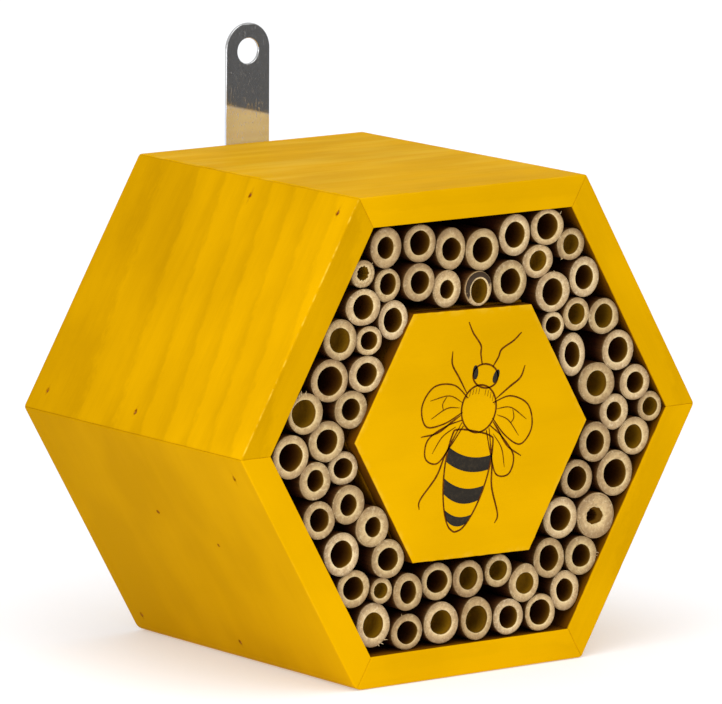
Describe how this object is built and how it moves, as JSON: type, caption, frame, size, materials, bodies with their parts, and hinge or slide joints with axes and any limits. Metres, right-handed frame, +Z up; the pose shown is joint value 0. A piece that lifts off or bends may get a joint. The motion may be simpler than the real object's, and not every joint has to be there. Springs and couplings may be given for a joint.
{
  "type": "insect hotel",
  "caption": "Wall-hung hexagonal wooden insect hotel: a mitred frame filled with bamboo nesting tubes round a middle box, with a steel hanging strip.",
  "frame": {"origin": "on the ground plane, under the middle of the whole object's width and depth, with the hanging strip counted in the depth", "axes": "+X to the right of a viewer in front, +Y from the front towards the wall, +Z up"},
  "size_m": [0.1994, 0.1322, 0.2168],
  "materials": {
    "stained_wood": "semi-gloss yellow stain over softwood grain",
    "panel_wood": "yellow stain with a black line print",
    "bamboo": "bare, sawn ends",
    "strip_steel": "polished",
    "screw_steel": "zinc plated",
    "brad_steel": "dulled and rusty"
  },
  "bodies": {
    "root": {"back_board": "stained_wood", "bamboo_tubes_01": "bamboo", "bamboo_tubes_02": "bamboo", "bamboo_tubes_03": "bamboo", "bamboo_tubes_04": "bamboo", "bamboo_tubes_05": "bamboo", "bamboo_tubes_06": "bamboo", "bamboo_tubes_07": "bamboo", "bamboo_tubes_08": "bamboo", "bamboo_tubes_09": "bamboo", "bamboo_tubes_10": "bamboo", "bamboo_tubes_11": "bamboo", "bamboo_tubes_12": "bamboo", "bamboo_tubes_13": "bamboo", "bamboo_tubes_14": "bamboo", "bamboo_tubes_15": "bamboo", "bamboo_tubes_16": "bamboo", "bamboo_tubes_17": "bamboo", "bamboo_tubes_18": "bamboo", "bamboo_tubes_19": "bamboo", "bamboo_tubes_20": "bamboo", "bamboo_tubes_21": "bamboo", "bamboo_tubes_22": "bamboo", "bamboo_tubes_23": "bamboo", "bamboo_tubes_24": "bamboo", "bamboo_tubes_25": "bamboo", "bamboo_tubes_26": "bamboo", "bamboo_tubes_27": "bamboo", "bamboo_tubes_28": "bamboo", "bamboo_tubes_29": "bamboo", "bamboo_tubes_30": "bamboo", "bamboo_tubes_31": "bamboo", "bamboo_tubes_32": "bamboo", "bottom_board": "stained_wood", "centre_bottom_board": "stained_wood", "centre_lower_left_board": "stained_wood", "centre_lower_right_board": "stained_wood", "centre_panel": "panel_wood", "centre_top_board": "stained_wood", "centre_upper_left_board": "stained_wood", "centre_upper_right_board": "stained_wood", "frame_brads": "brad_steel", "hanger_screws": "screw_steel", "hanger_strip": "strip_steel", "lower_left_board": "stained_wood", "lower_right_board": "stained_wood", "top_board": "stained_wood", "upper_left_board": "stained_wood", "upper_right_board": "stained_wood"}
  },
  "joints": []
}
